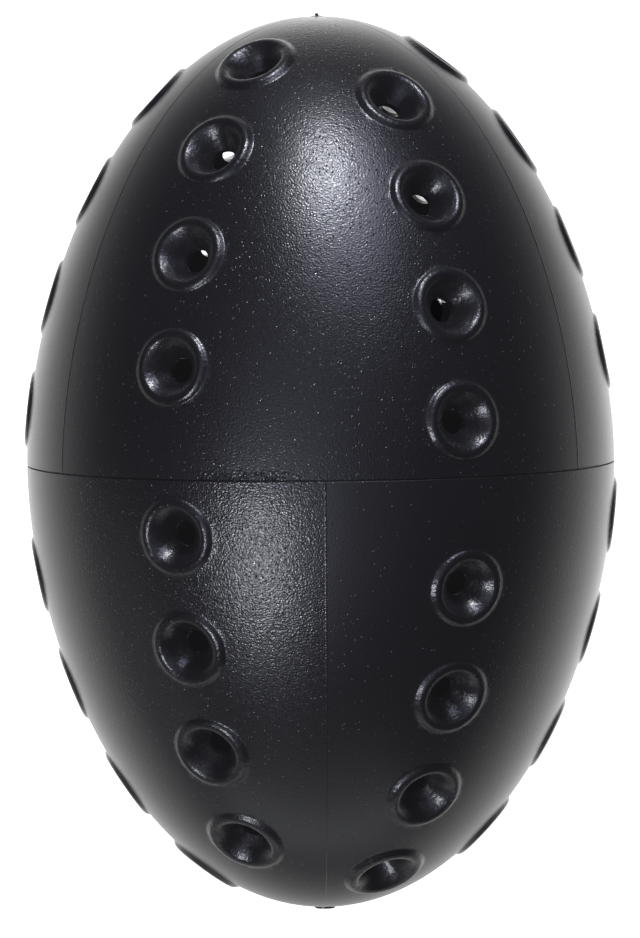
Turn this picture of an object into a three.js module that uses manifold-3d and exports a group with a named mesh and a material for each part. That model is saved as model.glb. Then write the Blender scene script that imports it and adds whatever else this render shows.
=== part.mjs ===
// A palm-sized egg shaker lying on its side, in millimetres, +Z up.
// Two moulded half shells meet at the egg's widest ring with a lap joint. Each half carries studs that
// stand square to the egg's skin, each one countersunk and drilled through to the hollow inside.
// Loose steel pellets lie in the bottom of the hollow and fly about when the egg is shaken.
import * as THREE from "three";
import { mergeVertices } from "three/addons/utils/BufferGeometryUtils.js";
import Module from "manifold-3d";

// Egg: both halves have the same outside, radius * sqrt(1 - (distance / half length) ^ fullness).
const EGG_DIAMETER = 45;
const EGG_LENGTH = 68.3;
const EGG_FULLNESS = 1.81;
const WALL = 2;

// Lap joint: a tongue on the upper half fills a step cut round the inside of the lower half.
// Outside, each half ends in a short straight land, so that the two edges match all round.
const LAP_LENGTH = 2.2;
const LAP_CLEARANCE = 0.15;
const SEAM_BEVEL = 0.14;
const SEAM_LAND = 2;

// The two halves are welded slightly out of line: each is turned this far, opposite ways, in degrees.
const WELD_TURN = 0.8;

// Studs: distances run along the skin from the seam, heights stand off the skin at a stud's middle.
// Each is a low cone with a flat top, so that it slides out of the mould that shapes the shell's side.
const STUD_ROWS = 6;
const STUDS_PER_ROW = 4;
const STUD_PITCH = 8.75;
const FIRST_STUD_LOW_ROW = 4.3;
const FIRST_STUD_HIGH_ROW = 8.45;
const STUD_DIAMETER = 5.4;
const STUD_HEIGHT = 0.15;
const STUD_SLOPE = 45;
const STUD_ROOT = 0.9;
const FUNNEL_MOUTH = 4.9;
const FUNNEL_ANGLE = 86;
const HOLE_DIAMETER = 1.9;

// Gate marks: what is left of the moulding sprue at each end of the egg.
const TOP_GATE_DIAMETER = 1;
const TOP_GATE_HEIGHT = 0.22;
const BOTTOM_GATE_DIAMETER = 1.6;
const BOTTOM_GATE_HEIGHT = 0.15;

// Pellets: one layer of loose balls, kept just clear of the wall and of each other.
const PELLET_DIAMETER = 4;
const PELLET_SPACING = 0.35;
const PELLET_CLEARANCE = 0.25;
const PELLET_ROWS = [6, 7, 8, 7, 6];

// Facets and cutting allowance.
const SHELL_FACETS = 36;
const OUTSIDE_STEPS = 9;
const INSIDE_STEPS = 7;
const STUD_FACETS = 10;
const PELLET_DETAIL = 1;
const OVERCUT = 1;

const EGG_RADIUS = EGG_DIAMETER / 2;
const HALF_FACET = Math.PI / SHELL_FACETS;
const HALF_LENGTH = EGG_LENGTH / 2;
const PELLET_RADIUS = PELLET_DIAMETER / 2;

const wasm = await Module();
wasm.setup();

// One quarter of an egg's outline, from its widest ring to its pole, measured along the line.
function eggLine(radius, halfLength) {
  const steps = 2000;
  const points = [];
  let run = 0;
  for (let i = 0; i <= steps; i++) {
    const angle = (Math.PI / 2) * (i / steps);
    const sine = Math.max(Math.sin(angle), 1e-4);
    const point = {
      radius: radius * Math.cos(angle),
      axial: i === 0 ? 0 : halfLength * Math.pow(sine, 2 / EGG_FULLNESS),
      outward: halfLength * (2 / EGG_FULLNESS) * Math.pow(sine, 2 / EGG_FULLNESS - 1) * Math.cos(angle),
      along: radius * sine,
    };
    if (i > 0) {
      const last = points[i - 1];
      run += Math.hypot(point.radius - last.radius, point.axial - last.axial);
    }
    const size = Math.hypot(point.outward, point.along);
    points.push({ ...point, outward: point.outward / size, along: point.along / size, run });
  }
  return points;
}

// The point of an outline at a given distance along it.
function pointAt(line, distance) {
  const after = Math.max(1, line.findIndex((point) => point.run >= distance));
  const a = line[after - 1];
  const b = line[after];
  const part = (distance - a.run) / (b.run - a.run);
  const mix = (key) => a[key] + (b[key] - a[key]) * part;
  return { radius: mix("radius"), axial: mix("axial"), outward: mix("outward"), along: mix("along") };
}

const outside = eggLine(EGG_RADIUS, HALF_LENGTH);
const inside = eggLine(EGG_RADIUS - WALL, HALF_LENGTH - WALL);

// Even points along an outline, from the given start to just short of the pole.
function evenly(line, steps, start) {
  const length = line[line.length - 1].run;
  const points = [];
  for (let i = 0; i < steps; i++) {
    const point = pointAt(line, start + ((length - start) * i) / steps);
    points.push(new THREE.Vector2(point.radius, point.axial));
  }
  return points;
}

function solid(geometry) {
  geometry.deleteAttribute("normal");
  geometry.deleteAttribute("uv");
  const merged = mergeVertices(geometry, 1e-4);
  return new wasm.Manifold(
    new wasm.Mesh({
      numProp: 3,
      vertProperties: merged.attributes.position.array,
      triVerts: new Uint32Array(merged.index.array),
    }),
  );
}

function geometryOf(shape) {
  const mesh = shape.getMesh();
  const geometry = new THREE.BufferGeometry();
  geometry.setAttribute("position", new THREE.BufferAttribute(mesh.vertProperties, 3));
  geometry.setIndex(new THREE.BufferAttribute(mesh.triVerts, 1));
  geometry.computeVertexNormals();
  return geometry;
}

// A round body whose profile runs from its axis out and back to its axis.
function turned(profile, facets, firstEdge = 0) {
  return new THREE.LatheGeometry(profile, facets, firstEdge);
}

// Half shell profile with its pole up. The tongue or step at the seam is passed in as its own points.
function shellProfile(seam, gate) {
  const innerWall = evenly(inside, INSIDE_STEPS, seam.insideStart);
  const outerWall = evenly(outside, OUTSIDE_STEPS, SEAM_LAND);
  outerWall[0].set(EGG_RADIUS, SEAM_LAND);
  return [
    new THREE.Vector2(0, HALF_LENGTH - WALL),
    ...innerWall.reverse(),
    ...seam.points,
    new THREE.Vector2(EGG_RADIUS, SEAM_BEVEL),
    ...outerWall,
    ...gate,
  ];
}

const lapRadius = EGG_RADIUS - WALL / 2;
const innerRadius = EGG_RADIUS - WALL;
const bevelRadius = EGG_RADIUS - SEAM_BEVEL;

const tongue = {
  insideStart: LAP_CLEARANCE,
  points: [
    new THREE.Vector2(innerRadius, -LAP_LENGTH),
    new THREE.Vector2(lapRadius - LAP_CLEARANCE, -LAP_LENGTH),
    new THREE.Vector2(lapRadius - LAP_CLEARANCE, 0),
    new THREE.Vector2(bevelRadius, 0),
  ],
};

const stepStart = LAP_LENGTH + LAP_CLEARANCE;
const step = {
  insideStart: stepStart,
  points: [
    new THREE.Vector2(lapRadius, stepStart),
    new THREE.Vector2(lapRadius, 0),
    new THREE.Vector2(bevelRadius, 0),
  ],
};

// The broken-off sprue: a small mound with a nib at the top end, a flat pad at the bottom end.
const topGate = [
  new THREE.Vector2(TOP_GATE_DIAMETER / 2, HALF_LENGTH),
  new THREE.Vector2(TOP_GATE_DIAMETER / 6, HALF_LENGTH + TOP_GATE_HEIGHT / 2),
  new THREE.Vector2(TOP_GATE_DIAMETER / 8, HALF_LENGTH + TOP_GATE_HEIGHT),
  new THREE.Vector2(0, HALF_LENGTH + TOP_GATE_HEIGHT),
];
const bottomGate = [
  new THREE.Vector2(BOTTOM_GATE_DIAMETER / 2, HALF_LENGTH - BOTTOM_GATE_HEIGHT / 2),
  new THREE.Vector2(BOTTOM_GATE_DIAMETER / 2, HALF_LENGTH + BOTTOM_GATE_HEIGHT),
  new THREE.Vector2(0, HALF_LENGTH + BOTTOM_GATE_HEIGHT),
];

const studRadius = STUD_DIAMETER / 2;
const rootRadius = studRadius + (STUD_HEIGHT + STUD_ROOT) * Math.tan(THREE.MathUtils.degToRad(STUD_SLOPE));
const holeRadius = HOLE_DIAMETER / 2;
const mouthRadius = FUNNEL_MOUTH / 2;
const funnelSlope = Math.tan(THREE.MathUtils.degToRad(FUNNEL_ANGLE / 2));
const funnelDepth = (mouthRadius - holeRadius) / funnelSlope;

const studBoss = turned(
  [
    new THREE.Vector2(0, -STUD_ROOT),
    new THREE.Vector2(rootRadius, -STUD_ROOT),
    new THREE.Vector2(studRadius, STUD_HEIGHT),
    new THREE.Vector2(0, STUD_HEIGHT),
  ],
  STUD_FACETS,
);

const studFunnel = turned(
  [
    new THREE.Vector2(0, -WALL - OVERCUT),
    new THREE.Vector2(holeRadius, -WALL - OVERCUT),
    new THREE.Vector2(holeRadius, STUD_HEIGHT - funnelDepth),
    new THREE.Vector2(mouthRadius, STUD_HEIGHT),
    new THREE.Vector2(mouthRadius + OVERCUT * funnelSlope, STUD_HEIGHT + OVERCUT),
    new THREE.Vector2(0, STUD_HEIGHT + OVERCUT),
  ],
  STUD_FACETS,
);

// Where each stud of one half stands: every other row round the egg starts further from the seam.
function studFrames() {
  const frames = [];
  for (let row = 0; row < STUD_ROWS; row++) {
    const turn = (2 * Math.PI * (row + 0.5)) / STUD_ROWS - THREE.MathUtils.degToRad(WELD_TURN);
    const first = row % 2 === 0 ? FIRST_STUD_LOW_ROW : FIRST_STUD_HIGH_ROW;
    for (let i = 0; i < STUDS_PER_ROW; i++) {
      const foot = pointAt(outside, first + i * STUD_PITCH);
      const frame = new THREE.Matrix4().makeRotationY(turn);
      frame.multiply(new THREE.Matrix4().makeTranslation(0, foot.axial, foot.radius));
      frame.multiply(new THREE.Matrix4().makeRotationX(Math.atan2(foot.outward, foot.along)));
      frames.push(frame);
    }
  }
  return frames;
}

function placed(geometry, frame) {
  return solid(geometry.clone().applyMatrix4(frame));
}

// Half shell with its studs fused on and every funnel and hole cut through the wall.
function halfShell(seam, gate) {
  let shell = solid(turned(shellProfile(seam, gate), SHELL_FACETS, HALF_FACET));
  const frames = studFrames();
  for (const frame of frames) {
    shell = shell.add(placed(studBoss, frame));
  }
  for (const frame of frames) {
    shell = shell.subtract(placed(studFunnel, frame));
  }
  return geometryOf(shell);
}

function named(name, geometry, material) {
  const mesh = new THREE.Mesh(geometry, material);
  mesh.name = name;
  return mesh;
}

const shaker = new THREE.Group();
shaker.name = "egg_shaker";

function blackPlastic() {
  return new THREE.MeshStandardMaterial({ color: 0x2b2a2d, roughness: 0.5, metalness: 0 });
}

// The egg's long axis lies along Y, and its lowest facet lies flat on the table.
const axisHeight = EGG_RADIUS * Math.cos(HALF_FACET);
const upperShell = named("upper_shell", halfShell(tongue, topGate), blackPlastic());
upperShell.position.set(0, 0, axisHeight);
shaker.add(upperShell);

// The lower half is made pole up like the upper one, then turned end for end.
const lowerShell = named("lower_shell", halfShell(step, bottomGate), blackPlastic());
lowerShell.position.set(0, 0, axisHeight);
lowerShell.rotation.z = Math.PI;
shaker.add(lowerShell);

// How far from the long axis a pellet's centre lies when it almost touches the wall.
function seatRadius(axial) {
  const gap = PELLET_RADIUS + PELLET_CLEARANCE;
  const seat = inside.map((point) => ({
    radius: point.radius - gap * point.outward,
    axial: point.axial - gap * point.along,
  }));
  const after = Math.max(1, seat.findIndex((point) => point.axial >= Math.abs(axial)));
  const a = seat[after - 1];
  const b = seat[after];
  return a.radius + ((b.radius - a.radius) * (Math.abs(axial) - a.axial)) / (b.axial - a.axial);
}

// One staggered layer of pellets along the bottom of the hollow.
const pelletPitch = PELLET_DIAMETER + PELLET_SPACING;
const rowPitch = pelletPitch * Math.sin(Math.PI / 3);
let pelletCount = 0;
PELLET_ROWS.forEach((inRow, row) => {
  const x = (row - (PELLET_ROWS.length - 1) / 2) * rowPitch;
  for (let i = 0; i < inRow; i++) {
    const y = (i - (inRow - 1) / 2) * pelletPitch;
    const drop = Math.sqrt(seatRadius(y) ** 2 - x ** 2);
    pelletCount += 1;
    const pellet = named(
      "pellet_" + String(pelletCount).padStart(2, "0"),
      new THREE.IcosahedronGeometry(PELLET_RADIUS, PELLET_DETAIL),
      new THREE.MeshStandardMaterial({ color: 0xb9bcc0, roughness: 0.25, metalness: 1 }),
    );
    pellet.position.set(x, y, axisHeight - drop);
    shaker.add(pellet);
  }
});

export default shaker;
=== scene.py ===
import math

import bmesh
import bpy
import numpy as np
from mathutils import Matrix, Vector


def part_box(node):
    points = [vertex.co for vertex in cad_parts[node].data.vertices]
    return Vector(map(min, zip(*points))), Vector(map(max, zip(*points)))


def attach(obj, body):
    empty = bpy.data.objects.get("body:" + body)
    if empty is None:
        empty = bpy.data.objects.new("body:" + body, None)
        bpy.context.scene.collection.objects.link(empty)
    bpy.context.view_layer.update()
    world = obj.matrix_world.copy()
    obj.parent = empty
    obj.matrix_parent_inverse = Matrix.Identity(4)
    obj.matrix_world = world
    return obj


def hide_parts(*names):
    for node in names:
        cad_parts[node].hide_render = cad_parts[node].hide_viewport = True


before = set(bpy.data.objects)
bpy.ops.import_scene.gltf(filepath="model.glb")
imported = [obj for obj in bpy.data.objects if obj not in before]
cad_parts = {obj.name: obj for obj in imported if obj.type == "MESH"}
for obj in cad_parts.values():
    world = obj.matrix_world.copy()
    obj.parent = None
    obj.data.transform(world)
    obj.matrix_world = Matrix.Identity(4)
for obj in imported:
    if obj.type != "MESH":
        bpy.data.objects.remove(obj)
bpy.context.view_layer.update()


# Lower half shell
# Injection-moulded black ABS. Its mould opens in three slides, which leave fine flash lines from the
# seam to the pole. A step round its edge takes the upper half's tongue, and the two are welded there.
MM = 0.001
EGG_RADIUS = 22.5 * MM
EGG_HALF_LENGTH = 34.15 * MM
EGG_FULLNESS = 1.81
WALL = 2 * MM
LAP_LENGTH = 2.2 * MM
LAP_CLEARANCE = 0.15 * MM
SEAM_GAP = 0.1 * MM
SEAM_DEPTH = 0.4 * MM
SEAM_BEVEL = 0.05 * MM
OUTSIDE_ROWS = 88
INSIDE_ROWS = 26
SHELL_COLUMNS = 252
SHELL_CREASE_DEGREES = 34
FLASH_HEIGHT = 0.028 * MM
FLASH_WIDTH = 0.1 * MM
FLASH_FADE_RADIUS = 0.25 * EGG_RADIUS
LOWER_FLASH_DEGREES = (-1.2, 118.8, 238.8)
# The flat mark of the gate: radius and height above the pole, in millimetres.
GATE_PAD = ((0.8, -0.075), (0.77, 0.12), (0.72, 0.15), (0, 0.15))

STUD_ROWS = 6
STUDS_PER_ROW = 4
STUD_PITCH = 8.75 * MM
FIRST_STUD = (4.3 * MM, 8.45 * MM)
WELD_TURN = math.radians(0.8)
TANGENT_STEP = 0.01 * MM
STUD_RADIUS = 2.75 * MM
STUD_HEIGHT = 0.15 * MM
STUD_SLOPE_DEGREES = 45
STUD_SHOULDER = 0.55 * MM
STUD_ROOT = 0.9 * MM
STUD_COLUMNS = 72
STUD_SIDE_ROWS = 26
FOOT_FILLET = 0.09 * MM
FOOT_SINK = 0.03 * MM
CROWN_RADIUS = 2.5 * MM
FUNNEL_LIP = 0.5 * MM
FUNNEL_LIP_DEGREES = 38
FUNNEL_CURVE = 3.2 * MM
FUNNEL_CURVE_ROWS = 10
FUNNEL_WALL_DEGREES = 58
HOLE_RADIUS = 0.95 * MM
HOLE_LIP = 0.08 * MM
OVERCUT = 1 * MM

ABS_BLACK = "#0a0a0d"
ABS_WORN = "#101014"
ABS_IOR = 1.5
# Painted glow: a faint emission on all the ABS that keeps even the deepest holes off black.
ABS_PAINTED_GLOW = 0.006
ABS_PAINTED_GLOW_TINT = (1, 1, 1.1, 1)
BLOTCH_PITCH = 9 * MM
NOISE_LOW = 0.3
NOISE_HIGH = 0.7
SPECK_PITCH = 0.85 * MM
SPECK_SHARE = 0.07
SPECK_GREY = "#46464c"
# Spark erosion leaves a grain of about 0.05 mm, which is drawn coarser here so that it shows.
GRAIN_PITCH = 0.13 * MM
GRAIN_DEPTH = 0.028 * MM
FINE_GRAIN = 0.3
FINE_ROUGHNESS = 0.33
PIT_PITCH = 0.25 * MM
PIT_SHARE = 0.32
PIT_DEPTH = 0.045 * MM
PIT_SIZE_SPREAD = 2.5
PIT_WALL = 0.3
FINE_PITS_MISSING = 0.75
FINE_PIT_ROUGHNESS = 0.3
COARSE_PIT_ROUGHNESS = 0.18
SLIDE_HALF_DEGREES = 60
PATCH_FADE_DEGREES = (46, 18)
PATCH_FULL_SHARE = 0.4
CRUSH_WIDTH = 0.85 * MM
CRUSH_FULL_WIDTH = CRUSH_WIDTH / 3
CRUSH_FADE_DEGREES = (10.89, 5.13)
CRUMB_PITCH = 0.32 * MM
CRUMB_DEPTH = 0.12 * MM
CRUMB_TOP = 0.1
CRUMB_FOOT = 0.6
CRUSHED_GRAIN = 0.1
CRUSHED_ROUGHNESS = 0.2
# The lathe tool's rings are about 0.05 mm apart, and are drawn wider here so that they show.
TURNING_PITCH = 0.2 * MM
TURNING_DEPTH = 0.0012 * MM
TURNING_STRENGTH = 0.5
MOTTLE_PITCH = 0.3 * MM
MOTTLE_DEPTH = 0.042 * MM
GLOSSY_STUD = 0.24
DULL_STUD = 0.32

low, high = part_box("lower_shell")
axis_height = (low.z + high.z) / 2


def egg_line(inset, steps=4000):
    """Radius, distance from the seam and run along the outline of one half, from seam to pole."""
    angle = np.linspace(0, np.pi / 2, steps + 1)
    radius = (EGG_RADIUS - inset) * np.cos(angle)
    along = (EGG_HALF_LENGTH - inset) * np.sin(angle) ** (2 / EGG_FULLNESS)
    run = np.concatenate(([0], np.cumsum(np.hypot(np.diff(radius), np.diff(along)))))
    return radius, along, run


def stretch(line, start, rows):
    """Even points of an outline from the given run to one row short of the pole."""
    radius, along, run = line
    runs = np.linspace(start, run[-1], rows + 1)[:-1]
    return list(zip(np.interp(runs, run, radius), np.interp(runs, run, along)))


def arc(centre, radius, start_degrees, end_degrees, steps=5):
    """Points of a round edge in a turned profile."""
    angles = np.radians(np.linspace(start_degrees, end_degrees, steps + 1))
    return [(centre[0] + radius * math.cos(a), centre[1] + radius * math.sin(a)) for a in angles]


def at_pole(profile):
    """A small profile in millimetres above the pole, in metres from the seam."""
    return [(radius * MM, EGG_HALF_LENGTH + height * MM) for radius, height in profile]


def turned(name, profile, columns, lifts=None, outside_from=0):
    """A closed mesh: a profile of (radius, height), from axis to axis, turned about +Y. From the given
    point of the profile on, the lifts raise single columns, less and less towards the axis."""
    shape = bmesh.new()
    rings = []
    lifts = np.zeros(len(columns)) if lifts is None else lifts
    for place, (radius, height) in enumerate(profile):
        raised = lifts if place >= outside_from else 0 * lifts
        if radius == 0:
            rings.append([shape.verts.new((0, height, 0))])
        else:
            reach = radius + raised * min(1, radius / FLASH_FADE_RADIUS)
            rings.append([shape.verts.new((out * math.sin(turn), height, out * math.cos(turn)))
                          for turn, out in zip(columns, reach)])
    for ring, after in zip(rings, rings[1:]):
        for i in range(len(columns)):
            j = (i + 1) % len(columns)
            corners = [ring[i % len(ring)], ring[j % len(ring)],
                       after[j % len(after)], after[i % len(after)]]
            shape.faces.new(list(dict.fromkeys(corners)))
    bmesh.ops.recalc_face_normals(shape, faces=shape.faces)
    mesh = bpy.data.meshes.new(name)
    shape.to_mesh(mesh)
    shape.free()
    return mesh


def even_columns(count):
    """Turns of evenly spaced columns."""
    return np.linspace(0, 2 * math.pi, count, endpoint=False)


def flash_columns(lines_degrees):
    """Columns round a shell, with a narrow raised line where two mould slides met."""
    half = FLASH_WIDTH / 2 / EGG_RADIUS
    plain = even_columns(SHELL_COLUMNS)
    lines = np.radians(lines_degrees) % (2 * math.pi)
    apart = np.abs((plain[:, None] - lines[None, :] + math.pi) % (2 * math.pi) - math.pi).min(axis=1)
    columns = [(turn, 0) for turn in plain[apart > 4 * half]]
    for line in lines:
        columns += [(line + step * half, FLASH_HEIGHT * (step == 0)) for step in (-2, -1, 0, 1, 2)]
    columns = sorted((turn % (2 * math.pi), up) for turn, up in columns)
    return np.array(columns)[:, 0], np.array(columns)[:, 1]


outside = egg_line(0)
inside = egg_line(WALL)
lap_radius = EGG_RADIUS - WALL / 2
stud_slope = math.tan(math.radians(STUD_SLOPE_DEGREES))


def half_shell(name, seam_points, inside_start, gate, lines_degrees):
    """One half with its pole along +Y: inner wall, seam edge, outer wall and the gate mark at its pole."""
    inner = [(0, EGG_HALF_LENGTH - WALL)] + stretch(inside, inside_start, INSIDE_ROWS)[::-1]
    edge = seam_points + [(EGG_RADIUS - SEAM_DEPTH, 0),
                          (EGG_RADIUS - SEAM_DEPTH, SEAM_GAP / 2),
                          (EGG_RADIUS - SEAM_BEVEL, SEAM_GAP / 2)]
    outer = stretch(outside, SEAM_GAP / 2 + SEAM_BEVEL, OUTSIDE_ROWS)
    outer = [point for point in outer if point[0] > gate[0][0]]
    columns, lifts = flash_columns(lines_degrees)
    return turned(name, inner + edge + outer + gate, columns, lifts, len(inner) + len(edge))


def new_piece(name, mesh):
    """An object for a mesh, in the scene and at the origin."""
    piece = bpy.data.objects.new(name, mesh)
    bpy.context.scene.collection.objects.link(piece)
    return piece


def stud_feet(to_world):
    """A mesh of points where one half's studs stand, each with the direction that it points in."""
    radius, along, run = outside
    places, outwards = [], []
    for row in range(STUD_ROWS):
        turn = Matrix.Rotation(2 * math.pi * (row + 0.5) / STUD_ROWS - WELD_TURN, 3, "Y")
        for step in range(STUDS_PER_ROW):
            at = FIRST_STUD[row % 2] + step * STUD_PITCH
            near = (at - TANGENT_STEP, at + TANGENT_STEP)
            slope_r, slope_a = (np.diff(np.interp(near, run, line))[0] for line in (radius, along))
            on_skin = Vector((0, np.interp(at, run, along), np.interp(at, run, radius)))
            places.append(to_world @ (turn @ on_skin))
            outwards.append(to_world.to_3x3() @ (turn @ Vector((0, -slope_r, slope_a)).normalized()))
    mesh = bpy.data.meshes.new("stud_feet")
    mesh.from_pydata(places, [], [])
    mesh.attributes.new("outward", "FLOAT_VECTOR", "POINT").data.foreach_set(
        "vector", np.array(outwards, np.float32).ravel())
    return new_piece("stud_feet", mesh)


def stud_boss():
    """The low bead before it is countersunk: a sloped side with a broad round shoulder."""
    shoulder_back = STUD_SHOULDER * math.tan(math.radians(90 - STUD_SLOPE_DEGREES) / 2)
    shoulder = arc((STUD_RADIUS - shoulder_back, STUD_HEIGHT - STUD_SHOULDER), STUD_SHOULDER,
                   STUD_SLOPE_DEGREES, 90)
    root_radius = STUD_RADIUS + (STUD_HEIGHT + STUD_ROOT) * stud_slope
    side = np.linspace((root_radius, -STUD_ROOT), shoulder[0], STUD_SIDE_ROWS, endpoint=False)
    profile = [(0, -STUD_ROOT)] + [tuple(point) for point in side] + shoulder + [(0, STUD_HEIGHT)]
    return new_piece("stud_boss", turned("stud_boss", profile, even_columns(STUD_COLUMNS)))


def stud_funnel():
    """What the countersink and the drill take out: a lip that rolls in, a wall that steepens, the hole."""
    lip_end = 90 + FUNNEL_LIP_DEGREES
    wall_end = 90 + FUNNEL_WALL_DEGREES
    lip = arc((CROWN_RADIUS, STUD_HEIGHT - FUNNEL_LIP), FUNNEL_LIP, lip_end, 90)
    toward = np.array((math.cos(math.radians(lip_end)), math.sin(math.radians(lip_end))))
    curve_centre = np.array(lip[0]) - FUNNEL_CURVE * toward
    wall = arc(curve_centre, FUNNEL_CURVE, wall_end, lip_end, FUNNEL_CURVE_ROWS)[:-1]
    drop = (wall[0][0] - HOLE_RADIUS) * math.tan(math.radians(FUNNEL_WALL_DEGREES))
    turn_back = HOLE_LIP * math.tan(math.radians(90 - FUNNEL_WALL_DEGREES) / 2)
    hole_edge = arc((HOLE_RADIUS + HOLE_LIP, wall[0][1] - drop - turn_back), HOLE_LIP, 180, wall_end)
    top = STUD_HEIGHT + OVERCUT
    profile = ([(0, -WALL - OVERCUT), (HOLE_RADIUS, -WALL - OVERCUT)] + hole_edge + wall + lip
               + [(CROWN_RADIUS, top), (0, top)])
    return new_piece("stud_funnel", turned("stud_funnel", profile, even_columns(STUD_COLUMNS)))


def add(tree, kind, inputs=None, **settings):
    """Adds a node with its settings; each input is a plain value, or the output socket that feeds it."""
    node = tree.nodes.new(kind)
    for name, value in settings.items():
        setattr(node, name, value)
    for name, value in (inputs or {}).items():
        if isinstance(value, bpy.types.NodeSocket):
            tree.links.new(value, node.inputs[name])
        else:
            node.inputs[name].default_value = value
    return node


def new_tree(name, sockets):
    """A geometry node tree with the named inputs and one geometry output, with its two end nodes."""
    tree = bpy.data.node_groups.new(name, "GeometryNodeTree")
    for label, kind in sockets:
        tree.interface.new_socket(name=label, in_out="INPUT", socket_type="NodeSocket" + kind)
    tree.interface.new_socket(name="Geometry", in_out="OUTPUT", socket_type="NodeSocketGeometry")
    return tree, add(tree, "NodeGroupInput").outputs, add(tree, "NodeGroupOutput").inputs


shell_tree, given, result = new_tree("studded_shell", [
    ("Shell", "Geometry"), ("Feet", "Object"), ("Boss", "Object"), ("Funnel", "Object"),
    ("Foot fillet", "Float"), ("Foot sink", "Float"), ("Skin", "Material"), ("Stud finish", "Material")])
feet = add(shell_tree, "GeometryNodeObjectInfo", {"Object": given["Feet"]}).outputs["Geometry"]
points_out = add(shell_tree, "GeometryNodeInputNamedAttribute", {"Name": "outward"},
                 data_type="FLOAT_VECTOR").outputs[0]
upright = add(shell_tree, "FunctionNodeAlignRotationToVector", {"Vector": points_out}, axis="Y")
bodies = {}
for part in ("Boss", "Funnel"):
    source = add(shell_tree, "GeometryNodeObjectInfo", {"Object": given[part]})
    copies = add(shell_tree, "GeometryNodeInstanceOnPoints", {
        "Points": feet, "Instance": source.outputs["Geometry"], "Rotation": upright.outputs[0]})
    real = add(shell_tree, "GeometryNodeRealizeInstances", {"Geometry": copies.outputs[0]})
    bodies[part] = add(shell_tree, "GeometryNodeStoreNamedAttribute", {
        "Geometry": real.outputs[0], "Name": "on_stud", "Value": True},
        data_type="BOOLEAN", domain="FACE").outputs[0]

# Each point's distance from the axis of the nearest stud.
place = add(shell_tree, "GeometryNodeInputPosition").outputs[0]
nearest = add(shell_tree, "GeometryNodeSampleNearest", {"Geometry": feet}, domain="POINT").outputs[0]
foot = add(shell_tree, "GeometryNodeSampleIndex", {"Geometry": feet, "Value": place, "Index": nearest},
           data_type="FLOAT_VECTOR", domain="POINT").outputs[0]
axis = add(shell_tree, "GeometryNodeSampleIndex", {"Geometry": feet, "Value": points_out, "Index": nearest},
           data_type="FLOAT_VECTOR", domain="POINT").outputs[0]
reach = add(shell_tree, "ShaderNodeVectorMath", {0: place, 1: foot}, operation="SUBTRACT").outputs[0]
on_axis_line = add(shell_tree, "ShaderNodeVectorMath", {0: reach, 1: axis}, operation="PROJECT")
sideways = add(shell_tree, "ShaderNodeVectorMath", {0: reach, 1: on_axis_line.outputs[0]},
               operation="SUBTRACT").outputs[0]
off_axis = add(shell_tree, "ShaderNodeVectorMath", {0: sideways}, operation="LENGTH").outputs["Value"]

# The foot of each boss flares out into a round fillet where it comes down to the skin.
skin = add(shell_tree, "GeometryNodeProximity", {"Geometry": given["Shell"]}, target_element="FACES")
above = add(shell_tree, "ShaderNodeVectorMath", {0: place, 1: skin.outputs["Position"]},
            operation="SUBTRACT")
above = add(shell_tree, "ShaderNodeVectorMath", {0: above.outputs[0], 1: axis}, operation="DOT_PRODUCT")
above = add(shell_tree, "ShaderNodeMath", {0: above.outputs["Value"], 1: given["Foot sink"]})
low_down = add(shell_tree, "ShaderNodeMapRange", {
    0: above.outputs[0], 1: 0, 2: given["Foot fillet"], 3: 1, 4: 0}).outputs[0]
squared = add(shell_tree, "ShaderNodeMath", {0: low_down, 1: low_down}, operation="MULTIPLY")
across = add(shell_tree, "ShaderNodeMath", {0: 1, 1: squared.outputs[0]}, operation="SUBTRACT")
across = add(shell_tree, "ShaderNodeMath", {0: across.outputs[0]}, operation="SQRT")
flare = add(shell_tree, "ShaderNodeMath", {0: 1, 1: across.outputs[0]}, operation="SUBTRACT")
flare = add(shell_tree, "ShaderNodeMath", {0: flare.outputs[0], 1: given["Foot fillet"]},
            operation="MULTIPLY")
outward = add(shell_tree, "ShaderNodeVectorMath", {0: sideways}, operation="NORMALIZE")
push = add(shell_tree, "ShaderNodeVectorMath", {0: outward.outputs[0], 3: flare.outputs[0]},
           operation="SCALE")
flared = add(shell_tree, "GeometryNodeSetPosition", {
    "Geometry": bodies["Boss"], "Offset": push.outputs[0]})

raised = add(shell_tree, "GeometryNodeMeshBoolean", {"Mesh 2": given["Shell"]},
             operation="UNION", solver="MANIFOLD")
shell_tree.links.new(flared.outputs[0], raised.inputs["Mesh 2"])
drilled = add(shell_tree, "GeometryNodeMeshBoolean", {
    "Mesh 1": raised.outputs["Mesh"], "Mesh 2": bodies["Funnel"]},
    operation="DIFFERENCE", solver="MANIFOLD")
marked = add(shell_tree, "GeometryNodeStoreNamedAttribute", {
    "Geometry": drilled.outputs["Mesh"], "Name": "off_stud_axis", "Value": off_axis},
    data_type="FLOAT", domain="POINT")
on_stud = add(shell_tree, "GeometryNodeInputNamedAttribute", {"Name": "on_stud"}, data_type="BOOLEAN")
joined = add(shell_tree, "GeometryNodeRealizeInstances", {"Geometry": marked.outputs[0]})
skinned = add(shell_tree, "GeometryNodeSetMaterial", {
    "Geometry": joined.outputs[0], "Material": given["Skin"]})
finished = add(shell_tree, "GeometryNodeSetMaterial", {
    "Geometry": skinned.outputs[0], "Selection": on_stud.outputs[0], "Material": given["Stud finish"]})
shell_tree.links.new(finished.outputs[0], result["Geometry"])


def linear(code):
    """An sRGB hex colour as linear RGBA."""
    parts = [int(code[i:i + 2], 16) / 255 for i in (1, 3, 5)]
    return (*[p / 12.92 if p <= 0.04045 else ((p + 0.055) / 1.055) ** 2.4 for p in parts], 1)


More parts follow.
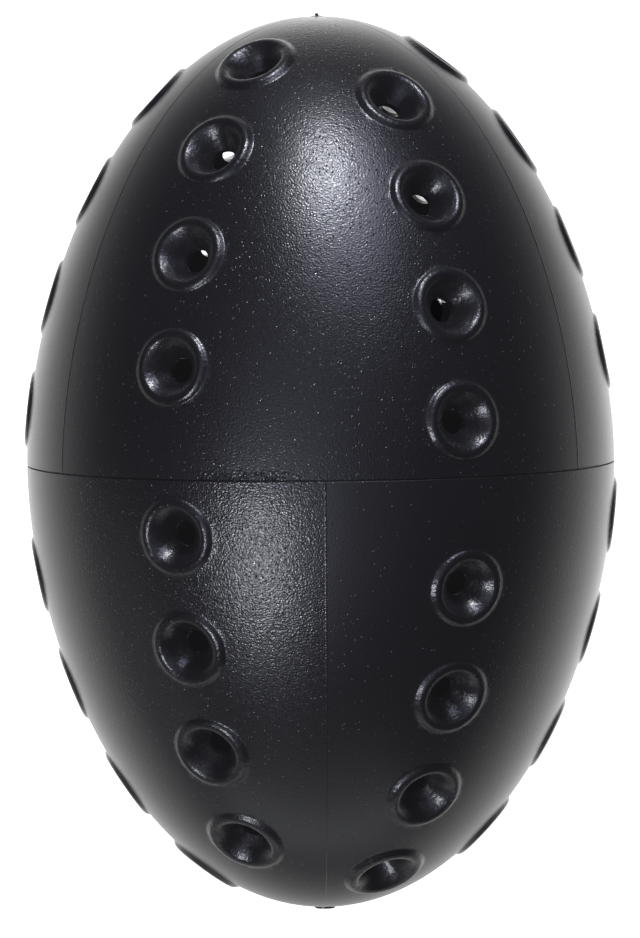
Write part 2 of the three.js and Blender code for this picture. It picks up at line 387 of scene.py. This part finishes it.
def black_abs(name):
    """Black ABS: near black and a little blotchy, with a faint painted glow, an emission that lifts every
    face, holes too, off black. Returns the material, its tree and shader, the place on the piece, the
    blotches and the colour that they give."""
    material = bpy.data.materials.new(name)
    material.use_nodes = True
    tree = material.node_tree
    shader = tree.nodes["Principled BSDF"]
    shader.inputs["IOR"].default_value = ABS_IOR
    # A painted glow: a faint emission that lifts every face off black.
    shader.inputs["Emission Color"].default_value = ABS_PAINTED_GLOW_TINT
    shader.inputs["Emission Strength"].default_value = ABS_PAINTED_GLOW
    where = add(tree, "ShaderNodeTexCoord").outputs["Object"]
    blotch = add(tree, "ShaderNodeTexNoise", {"Vector": where, "Scale": 1 / BLOTCH_PITCH, "Detail": 3})
    tint = add(tree, "ShaderNodeMix", {
        0: blotch.outputs[0], 6: linear(ABS_BLACK), 7: linear(ABS_WORN)}, data_type="RGBA")
    return material, tree, shader, where, blotch.outputs[0], tint.outputs[2]


def spark_eroded_abs(name, slide_degrees, patch_degrees, patch_length, coarse_grain, coarse_roughness,
                     crushed_degrees):
    """Black ABS moulded against a spark-eroded slide: a satin skin of fine pebbles and pits that breaks a
    highlight into sparkles, with pale specks here and there. One slide of each mould carries a coarser
    patch, which fades out round its middle and ends where the slide ends. Welding has crushed a stretch
    of the edge to glossy crumbs. The degrees are turns about the egg's axis, from straight up."""
    material, tree, shader, where, _, tint = black_abs(name)
    specks = add(tree, "ShaderNodeTexVoronoi", {"Vector": where, "Scale": 1 / SPECK_PITCH})
    speck = add(tree, "ShaderNodeMath", {0: specks.outputs["Distance"], 1: SPECK_SHARE},
                operation="LESS_THAN")
    tint = add(tree, "ShaderNodeMix", {0: speck.outputs[0], 6: tint, 7: linear(SPECK_GREY)},
               data_type="RGBA")
    tree.links.new(tint.outputs[2], shader.inputs["Base Color"])

    # How far a place faces the slide's middle, the patch and the crushed stretch, and is off the seam.
    radial = add(tree, "ShaderNodeVectorMath", {0: where, 1: (0, 0, axis_height)}, operation="SUBTRACT")
    radial = add(tree, "ShaderNodeVectorMath", {0: radial.outputs[0], 1: (1, 0, 1)}, operation="MULTIPLY")
    radial = add(tree, "ShaderNodeVectorMath", {0: radial.outputs[0]}, operation="NORMALIZE")
    facing = []
    for degrees in (slide_degrees, patch_degrees, crushed_degrees):
        turn = math.radians(degrees)
        facing.append(add(tree, "ShaderNodeVectorMath", {
            0: radial.outputs[0], 1: (math.sin(turn), 0, math.cos(turn))},
            operation="DOT_PRODUCT").outputs["Value"])
    off_seam = add(tree, "ShaderNodeSeparateXYZ", {0: where}).outputs["Y"]
    off_seam = add(tree, "ShaderNodeMath", {0: off_seam}, operation="ABSOLUTE").outputs[0]

    slide_edge = math.cos(math.radians(SLIDE_HALF_DEGREES))
    fine_at, coarse_at = (math.cos(math.radians(degrees)) for degrees in PATCH_FADE_DEGREES)
    coarse = add(tree, "ShaderNodeMath", {0: facing[0], 1: slide_edge}, operation="GREATER_THAN")
    coarse = add(tree, "ShaderNodeMapRange", {
        0: facing[1], 1: fine_at, 2: coarse_at, 3: 0, 4: coarse.outputs[0]})
    coarse = add(tree, "ShaderNodeMapRange", {
        0: off_seam, 1: PATCH_FULL_SHARE * patch_length, 2: patch_length,
        3: coarse.outputs[0], 4: 0}).outputs[0]

    whole_at, crushed_at = (math.cos(math.radians(degrees)) for degrees in CRUSH_FADE_DEGREES)
    crushed = add(tree, "ShaderNodeMapRange", {
        0: off_seam, 1: CRUSH_FULL_WIDTH, 2: CRUSH_WIDTH, 3: 1, 4: 0})
    crushed = add(tree, "ShaderNodeMapRange", {
        0: facing[2], 1: whole_at, 2: crushed_at, 3: 0, 4: crushed.outputs[0]}).outputs[0]
    crumbs = add(tree, "ShaderNodeTexVoronoi", {"Vector": where, "Scale": 1 / CRUMB_PITCH})
    crumb = add(tree, "ShaderNodeMapRange", {
        0: crumbs.outputs["Distance"], 1: CRUMB_TOP, 2: CRUMB_FOOT, 3: 1, 4: 0},
        interpolation_type="SMOOTHSTEP")
    crumb = add(tree, "ShaderNodeMath", {0: crumb.outputs[0], 1: crushed}, operation="MULTIPLY")
    crumby = add(tree, "ShaderNodeBump", {
        "Height": crumb.outputs[0], "Distance": CRUMB_DEPTH, "Strength": 1})

    strength = add(tree, "ShaderNodeMapRange", {0: coarse, 3: FINE_GRAIN, 4: coarse_grain})
    strength = add(tree, "ShaderNodeMapRange", {0: crushed, 3: strength.outputs[0], 4: CRUSHED_GRAIN})
    grain = add(tree, "ShaderNodeTexNoise", {"Vector": where, "Scale": 1 / GRAIN_PITCH, "Detail": 0})
    grain = add(tree, "ShaderNodeMath", {0: grain.outputs[0], 1: 0.5}, operation="SUBTRACT")
    grain = add(tree, "ShaderNodeMath", {0: grain.outputs[0], 1: strength.outputs[0]},
                operation="MULTIPLY")
    grainy = add(tree, "ShaderNodeBump", {
        "Height": grain.outputs[0], "Distance": GRAIN_DEPTH, "Strength": 1, "Normal": crumby.outputs[0]})

    pits = add(tree, "ShaderNodeTexVoronoi", {"Vector": where, "Scale": 1 / PIT_PITCH})
    hollow = add(tree, "ShaderNodeMapRange", {
        0: pits.outputs["Distance"], 1: 0, 2: PIT_SHARE, 3: -1, 4: 0}).outputs[0]
    chance = add(tree, "ShaderNodeSeparateColor", {0: pits.outputs["Color"]}).outputs[0]
    missing = add(tree, "ShaderNodeMapRange", {0: coarse, 3: FINE_PITS_MISSING, 4: 0})
    sized = add(tree, "ShaderNodeMapRange", {0: chance, 1: missing.outputs[0], 2: 1, 3: 0, 4: 1})
    sized = add(tree, "ShaderNodeMath", {0: sized.outputs[0], 1: PIT_SIZE_SPREAD}, operation="POWER")
    pit = add(tree, "ShaderNodeMath", {0: hollow, 1: sized.outputs[0]}, operation="MULTIPLY")
    pitted = add(tree, "ShaderNodeBump", {
        "Height": pit.outputs[0], "Distance": PIT_DEPTH, "Strength": 1, "Normal": grainy.outputs[0]})
    tree.links.new(pitted.outputs[0], shader.inputs["Normal"])

    satin = add(tree, "ShaderNodeMapRange", {0: coarse, 3: FINE_ROUGHNESS, 4: coarse_roughness})
    polish = add(tree, "ShaderNodeMapRange", {0: coarse, 3: FINE_PIT_ROUGHNESS, 4: COARSE_PIT_ROUGHNESS})
    rough = add(tree, "ShaderNodeMapRange", {
        0: hollow, 1: 0, 2: -PIT_WALL, 3: satin.outputs[0], 4: polish.outputs[0]})
    rough = add(tree, "ShaderNodeMapRange", {0: crushed, 3: rough.outputs[0], 4: CRUSHED_ROUGHNESS})
    tree.links.new(rough.outputs[0], shader.inputs["Roughness"])
    return material


def turned_insert_abs():
    """The same ABS moulded against turned steel inserts: glossy, with the faint rings of the lathe tool
    and the slight mottle of a flow front."""
    material, tree, shader, where, blotch, tint = black_abs("black_abs_turned_insert")
    tree.links.new(tint, shader.inputs["Base Color"])
    off_centre = add(tree, "ShaderNodeAttribute", attribute_name="off_stud_axis").outputs["Fac"]
    rings = add(tree, "ShaderNodeMath", {0: off_centre, 1: 2 * math.pi / TURNING_PITCH},
                operation="MULTIPLY")
    rings = add(tree, "ShaderNodeMath", {0: rings.outputs[0]}, operation="SINE")
    turning = add(tree, "ShaderNodeBump", {
        "Height": rings.outputs[0], "Distance": TURNING_DEPTH, "Strength": TURNING_STRENGTH})
    mottle = add(tree, "ShaderNodeTexNoise", {"Vector": where, "Scale": 1 / MOTTLE_PITCH, "Detail": 3})
    bump = add(tree, "ShaderNodeBump", {
        "Height": mottle.outputs[0], "Distance": MOTTLE_DEPTH, "Strength": 1,
        "Normal": turning.outputs[0]})
    tree.links.new(bump.outputs[0], shader.inputs["Normal"])
    rough = add(tree, "ShaderNodeMapRange", {
        0: blotch, 1: NOISE_LOW, 2: NOISE_HIGH, 3: GLOSSY_STUD, 4: DULL_STUD})
    tree.links.new(rough.outputs[0], shader.inputs["Roughness"])
    return material


stud_finish = turned_insert_abs()


def grown(piece, tree, values, crease_degrees):
    """Runs a node tree on a piece and leaves the result as its plain mesh, smooth up to the crease."""
    modifier = piece.modifiers.new(tree.name, "NODES")
    modifier.node_group = tree
    for socket in tree.interface.items_tree:
        if socket.name in values:
            modifier[socket.identifier] = values[socket.name]
    graph = bpy.context.evaluated_depsgraph_get()
    mesh = bpy.data.meshes.new_from_object(piece.evaluated_get(graph), depsgraph=graph)
    piece.modifiers.clear()
    blank = piece.data
    piece.data = mesh
    bpy.data.meshes.remove(blank)
    mesh.name = piece.name
    mesh.shade_smooth()
    mesh.set_sharp_from_angle(angle=math.radians(crease_degrees))
    return piece


def studded(name, blank, to_world, skin_finish):
    """Stands the studs on a half shell, countersinks and drills them, and rides it on the shell's body."""
    blank.transform(to_world)
    helpers = {"Feet": stud_feet(to_world), "Boss": stud_boss(), "Funnel": stud_funnel()}
    shell = grown(new_piece(name + "_skin", blank), shell_tree, {
        **helpers,
        "Foot fillet": FOOT_FILLET,
        "Foot sink": FOOT_SINK,
        "Skin": skin_finish,
        "Stud finish": stud_finish,
    }, SHELL_CREASE_DEGREES)
    for helper in helpers.values():
        bpy.data.meshes.remove(helper.data)
    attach(shell, "shell")
    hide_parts(name)


on_axis = Matrix.Translation((0, 0, axis_height))
pole_down = on_axis @ Matrix.Rotation(math.pi, 4, "Z")
step_start = LAP_LENGTH + LAP_CLEARANCE
step_edge = [(lap_radius, step_start), (lap_radius, 0)]
lower_blank = half_shell("lower_shell", step_edge, step_start, at_pole(GATE_PAD), LOWER_FLASH_DEGREES)
lower_finish = spark_eroded_abs("black_abs_spark_eroded_lower", slide_degrees=-58.8, patch_degrees=-18,
                                patch_length=25 * MM, coarse_grain=1.05, coarse_roughness=0.28,
                                crushed_degrees=150)
studded("lower_shell", lower_blank, pole_down, lower_finish)


# Loose pellets
# Cold-headed and tumbled steel balls, poured in before the two halves are welded. Nothing holds them, so
# each rides on its own body. Heading leaves a faint belt round each ball, tumbling leaves shallow dents.
PELLET_SUBDIVISIONS = 4
PELLET_CREASE_DEGREES = 60
BELT_WIDTH = 0.5 * MM
BELT_HEIGHT = 0.02 * MM
DENT_PITCH = 0.9 * MM
DENT_DEPTH = 0.03 * MM
# The haze of tumbling is finer than 0.05 mm, and is drawn coarser here so that it shows.
HAZE_PITCH = 0.25 * MM
STEEL_BRIGHT = "#c3c6ca"
STEEL_DULL = "#85888e"
BRIGHT_ROUGHNESS = 0.18
HAZY_ROUGHNESS = 0.42


def tumbled_steel():
    """Carbon steel, tumbled bright: a hazy mirror, duller where the tumbling has roughened it."""
    material = bpy.data.materials.new("carbon_steel_tumbled")
    material.use_nodes = True
    tree = material.node_tree
    shader = tree.nodes["Principled BSDF"]
    shader.inputs["Metallic"].default_value = 1
    where = add(tree, "ShaderNodeTexCoord").outputs["Object"]
    dents = add(tree, "ShaderNodeTexNoise", {"Vector": where, "Scale": 1 / DENT_PITCH, "Detail": 3})
    haze = add(tree, "ShaderNodeTexNoise", {"Vector": where, "Scale": 1 / HAZE_PITCH, "Detail": 4})
    tint = add(tree, "ShaderNodeMix", {
        0: dents.outputs[0], 6: linear(STEEL_DULL), 7: linear(STEEL_BRIGHT)}, data_type="RGBA")
    tree.links.new(tint.outputs[2], shader.inputs["Base Color"])
    rough = add(tree, "ShaderNodeMapRange", {
        0: haze.outputs[0], 1: NOISE_LOW, 2: NOISE_HIGH, 3: BRIGHT_ROUGHNESS, 4: HAZY_ROUGHNESS})
    tree.links.new(rough.outputs[0], shader.inputs["Roughness"])
    return material


ball_tree, given, result = new_tree("tumbled_ball", [
    ("Radius", "Float"), ("Centre", "Vector"), ("Belt axis", "Vector"), ("Belt width", "Float"),
    ("Belt height", "Float"), ("Dent pitch", "Float"), ("Dent depth", "Float"), ("Steel", "Material")])
ball = add(ball_tree, "GeometryNodeMeshIcoSphere", {
    "Radius": given["Radius"], "Subdivisions": PELLET_SUBDIVISIONS})
place = add(ball_tree, "GeometryNodeInputPosition").outputs[0]
outward = add(ball_tree, "ShaderNodeVectorMath", {0: place}, operation="NORMALIZE").outputs[0]
off_belt = add(ball_tree, "ShaderNodeVectorMath", {0: outward, 1: given["Belt axis"]},
               operation="DOT_PRODUCT")
off_belt = add(ball_tree, "ShaderNodeMath", {0: off_belt.outputs["Value"], 1: given["Radius"]},
               operation="MULTIPLY")
off_belt = add(ball_tree, "ShaderNodeMath", {0: off_belt.outputs[0]}, operation="ABSOLUTE")
belt = add(ball_tree, "ShaderNodeMapRange", {
    0: off_belt.outputs[0], 1: 0, 2: given["Belt width"], 3: given["Belt height"], 4: 0},
    interpolation_type="SMOOTHSTEP")
spot = add(ball_tree, "ShaderNodeVectorMath", {0: outward, 3: given["Radius"]}, operation="SCALE")
spot = add(ball_tree, "ShaderNodeVectorMath", {0: spot.outputs[0], 1: given["Centre"]})
often = add(ball_tree, "ShaderNodeMath", {0: 1, 1: given["Dent pitch"]}, operation="DIVIDE")
dent = add(ball_tree, "ShaderNodeTexNoise", {
    "Vector": spot.outputs[0], "Scale": often.outputs[0], "Detail": 1})
dent = add(ball_tree, "ShaderNodeMath", {0: dent.outputs[0], 1: given["Dent depth"]},
           operation="MULTIPLY")
lift = add(ball_tree, "ShaderNodeMath", {0: belt.outputs[0], 1: dent.outputs[0]}, operation="SUBTRACT")
push = add(ball_tree, "ShaderNodeVectorMath", {0: outward, 3: lift.outputs[0]}, operation="SCALE")
shaped = add(ball_tree, "GeometryNodeSetPosition", {
    "Geometry": ball.outputs["Mesh"], "Offset": push.outputs[0]})
seated = add(ball_tree, "GeometryNodeTransform", {
    "Geometry": shaped.outputs[0], "Translation": given["Centre"]})
joined = add(ball_tree, "GeometryNodeRealizeInstances", {"Geometry": seated.outputs[0]})
dressed = add(ball_tree, "GeometryNodeSetMaterial", {
    "Geometry": joined.outputs[0], "Material": given["Steel"]})
ball_tree.links.new(dressed.outputs[0], result["Geometry"])

steel = tumbled_steel()
golden_angle = math.pi * (3 - math.sqrt(5))
pellet_nodes = sorted(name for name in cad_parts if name.startswith("pellet_"))
for count, node in enumerate(pellet_nodes):
    low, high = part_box(node)
    # The belts point all ways, spread evenly over a ball by the golden angle.
    rise = 1 - (2 * count + 1) / len(pellet_nodes)
    turn = count * golden_angle
    level = math.sqrt(1 - rise * rise)
    pellet = grown(new_piece("loose_" + node, bpy.data.meshes.new(node)), ball_tree, {
        "Radius": (high.x - low.x) / 2,
        "Centre": (low + high) / 2,
        "Belt axis": (level * math.cos(turn), level * math.sin(turn), rise),
        "Belt width": BELT_WIDTH,
        "Belt height": BELT_HEIGHT,
        "Dent pitch": DENT_PITCH,
        "Dent depth": DENT_DEPTH,
        "Steel": steel,
    }, PELLET_CREASE_DEGREES)
    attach(pellet, node)
    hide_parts(node)


# Upper half shell
# The other ABS moulding. Its slides part on other lines than the lower half's, a third of a turn apart,
# and its edge carries the tongue that is welded into the lower half. The nib at its pole is the torn sprue.
UPPER_FLASH_DEGREES = (60, 180, 300)
# The torn sprue on its low mound: radius and height above the pole, in millimetres.
TORN_SPRUE = ((0.5, 0), (0.3, 0.049), (0.169, 0.07), (0.13, 0.098), (0.117, 0.22), (0, 0.22))

tongue_radius = lap_radius - LAP_CLEARANCE
tongue_edge = [(EGG_RADIUS - WALL, -LAP_LENGTH), (tongue_radius, -LAP_LENGTH), (tongue_radius, 0)]
upper_blank = half_shell("upper_shell", tongue_edge, LAP_CLEARANCE, at_pole(TORN_SPRUE),
                         UPPER_FLASH_DEGREES)
upper_finish = spark_eroded_abs("black_abs_spark_eroded_upper", slide_degrees=0, patch_degrees=0,
                                patch_length=80 * MM, coarse_grain=0.82, coarse_roughness=0.28,
                                crushed_degrees=-14)
studded("upper_shell", upper_blank, on_axis, upper_finish)


# Table
# A large white lacquered table that the egg lies on. It shows white to the camera and keeps the shadow. A
# pool of light is painted on it that only the egg's reflections see, fading with the distance and towards
# the upper corners.
FLOOR_HALF_WIDTH = 30
FLOOR_WHITE = "#f4f4f4"
FLOOR_GLOW = 0.9
# The painted pool of light that only reflections see: its centre, reach, fall and peak, and how it fades
# towards the upper corners.
POOL_CENTRE = (0.002, 0.014, 0)
POOL_REACH = 0.061
POOL_FALL = 1.5
POOL_PEAK = 2.5
LEAN_CORE = 0.05
LEAN = 1.7

floor_level = axis_height - EGG_RADIUS
floor_mesh = bpy.data.meshes.new("table")
floor_mesh.from_pydata([(x * FLOOR_HALF_WIDTH, y * FLOOR_HALF_WIDTH, floor_level)
                        for x, y in ((-1, -1), (1, -1), (1, 1), (-1, 1))], [], [(0, 1, 2, 3)])
floor = new_piece("table", floor_mesh)
floor_paint = bpy.data.materials.new("white_table_lacquer")
floor_paint.use_nodes = True
tree = floor_paint.node_tree
tree.nodes.remove(tree.nodes["Principled BSDF"])
rays = add(tree, "ShaderNodeLightPath").outputs
seen = add(tree, "ShaderNodeMath", {0: rays["Is Camera Ray"], 1: rays["Is Transmission Ray"]},
           operation="MAXIMUM")
glow = add(tree, "ShaderNodeMath", {0: seen.outputs[0], 1: FLOOR_GLOW}, operation="MULTIPLY")
lit = add(tree, "ShaderNodeBsdfDiffuse", {"Color": linear(FLOOR_WHITE)})
white = add(tree, "ShaderNodeEmission", {"Color": linear(FLOOR_WHITE), "Strength": glow.outputs[0]})
shown = add(tree, "ShaderNodeAddShader", {0: lit.outputs[0], 1: white.outputs[0]})

# A painted pool of light, seen only by glossy rays: bright near the egg, fading with the distance and
# towards the upper corners.
spot = add(tree, "ShaderNodeTexCoord").outputs["Object"]
away = add(tree, "ShaderNodeVectorMath", {0: spot, 1: POOL_CENTRE}, operation="DISTANCE")
pool = add(tree, "ShaderNodeMath", {0: POOL_REACH, 1: away.outputs["Value"]}, operation="DIVIDE")
pool = add(tree, "ShaderNodeMath", {0: pool.outputs[0], 1: POOL_FALL}, operation="POWER")
pool = add(tree, "ShaderNodeMath", {0: pool.outputs[0], 1: POOL_PEAK}, operation="MINIMUM")
across, along = add(tree, "ShaderNodeSeparateXYZ", {0: spot}).outputs[:2]
across = add(tree, "ShaderNodeMath", {0: across}, operation="ABSOLUTE").outputs[0]
squared = add(tree, "ShaderNodeMath", {0: across, 1: across, 2: LEAN_CORE ** 2}, operation="MULTIPLY_ADD")
squared = add(tree, "ShaderNodeMath", {0: along, 1: along, 2: squared.outputs[0]},
              operation="MULTIPLY_ADD")
cornerwise = add(tree, "ShaderNodeMath", {0: across, 1: along}, operation="MULTIPLY")
cornerwise = add(tree, "ShaderNodeMath", {0: cornerwise.outputs[0], 1: squared.outputs[0]},
                 operation="DIVIDE")
lean = add(tree, "ShaderNodeMath", {0: cornerwise.outputs[0], 1: -LEAN, 2: 1}, operation="MULTIPLY_ADD")
pool = add(tree, "ShaderNodeMath", {0: pool.outputs[0], 1: lean.outputs[0]}, operation="MULTIPLY")
painted_pool_glow = add(tree, "ShaderNodeEmission", {"Color": linear(FLOOR_WHITE), "Strength": pool.outputs[0]})
both = add(tree, "ShaderNodeMixShader", {
    0: rays["Is Glossy Ray"], 1: shown.outputs[0], 2: painted_pool_glow.outputs[0]})
tree.links.new(both.outputs[0], tree.nodes["Material Output"].inputs["Surface"])
floor_mesh.materials.append(floor_paint)


# Studio light
# A low softbox beyond the upper end and a smaller one over the lower left, each with the glow of its bulb.
# A dim softbox and a white ceiling are overhead, dim cards stand beyond both ends and at the left, and the
# room is dark grey.
ROOM_GREY = 0.03
SOFTBOX_COOL = (0.73, 0.75, 1)
BULB_WHITE = (0.93, 0.95, 1)


def softbox(name, direction, distance, width, height, watts, colour):
    """An area lamp in that direction and distance from the middle of the egg, turned to face it, with its
    width along X as far as that allows. Sizes are in metres."""
    lamp = bpy.data.lights.new(name, "AREA")
    lamp.shape = "RECTANGLE"
    lamp.size = width
    lamp.size_y = height
    lamp.energy = watts
    lamp.color = colour
    box = bpy.data.objects.new(name, lamp)
    bpy.context.scene.collection.objects.link(box)
    way = Vector(direction).normalized()
    wide = (Vector((1, 0, 0)) - way.x * way).normalized()
    facing = Matrix((wide, way.cross(wide), way)).transposed().to_4x4()
    box.matrix_world = on_axis @ Matrix.Translation(way * distance) @ facing
    box.visible_camera = False


softbox("upper_end_softbox", (0.18, 0.82, 0.56), 0.6, 0.34, 0.36, 1.75, SOFTBOX_COOL)
softbox("upper_end_bulb", (0.06, 0.873, 0.488), 0.59, 0.08, 0.08, 2.15, BULB_WHITE)
softbox("upper_end_table_card", (-0.05, 0.99, 0.1), 0.6, 0.45, 0.2, 0.18, SOFTBOX_COOL)
softbox("overhead_softbox", (-0.22, -0.06, 0.97), 0.7, 0.5, 0.5, 0.52, SOFTBOX_COOL)
softbox("ceiling", (-0.05, 0.04, 1), 0.8, 1.1, 1.1, 0.55, SOFTBOX_COOL)
softbox("lower_left_softbox", (-0.39, -0.36, 0.85), 0.7, 0.28, 0.24, 0.55, SOFTBOX_COOL)
softbox("lower_left_bulb", (-0.39, -0.34, 0.86), 0.69, 0.06, 0.06, 1.6, BULB_WHITE)
softbox("lower_end_card", (0, -0.93, 0.36), 0.6, 0.5, 0.2, 0.1, BULB_WHITE)
softbox("lower_end_table_card", (-0.05, -1, 0.085), 0.3, 0.35, 0.09, 0.1, BULB_WHITE)
softbox("left_card", (-0.85, -0.52, 0.1), 0.5, 0.4, 0.14, 0.08, BULB_WHITE)

world = bpy.data.worlds.new("studio_room")
bpy.context.scene.world = world
world.use_nodes = True
tree = world.node_tree
backdrop = tree.nodes["Background"]
backdrop.inputs["Color"].default_value = (1, 1, 1, 1)
seen = add(tree, "ShaderNodeLightPath").outputs["Is Camera Ray"]
level = add(tree, "ShaderNodeMapRange", {0: seen, 3: ROOM_GREY, 4: 1})
tree.links.new(level.outputs[0], backdrop.inputs["Strength"])


# Camera
# Far away on a long lens, a little towards the upper end, looking down on the side that faces up. Its
# place is measured from the middle of the egg in metres, and its turns are in radians.
CAMERA_PLACE = (0.00499, 0.05056, 0.8)
CAMERA_PITCH = 0.06376
CAMERA_ROLL = 0.00927
CAMERA_YAW = 0.00632
PIXELS_PER_RADIAN = 10464.56
IMAGE_HEIGHT = 938
SENSOR = 36

lens = bpy.data.cameras.new("camera")
lens.sensor_width = SENSOR
lens.lens = PIXELS_PER_RADIAN * SENSOR / IMAGE_HEIGHT
lens.clip_start = 0.05
lens.clip_end = 100
camera = bpy.data.objects.new("camera", lens)
bpy.context.scene.collection.objects.link(camera)
camera.matrix_world = (on_axis @ Matrix.Translation(CAMERA_PLACE) @ Matrix.Rotation(CAMERA_YAW, 4, "Y")
                       @ Matrix.Rotation(-CAMERA_PITCH, 4, "X") @ Matrix.Rotation(-CAMERA_ROLL, 4, "Z"))
bpy.context.scene.camera = camera
bpy.context.scene.view_settings.view_transform = "Standard"
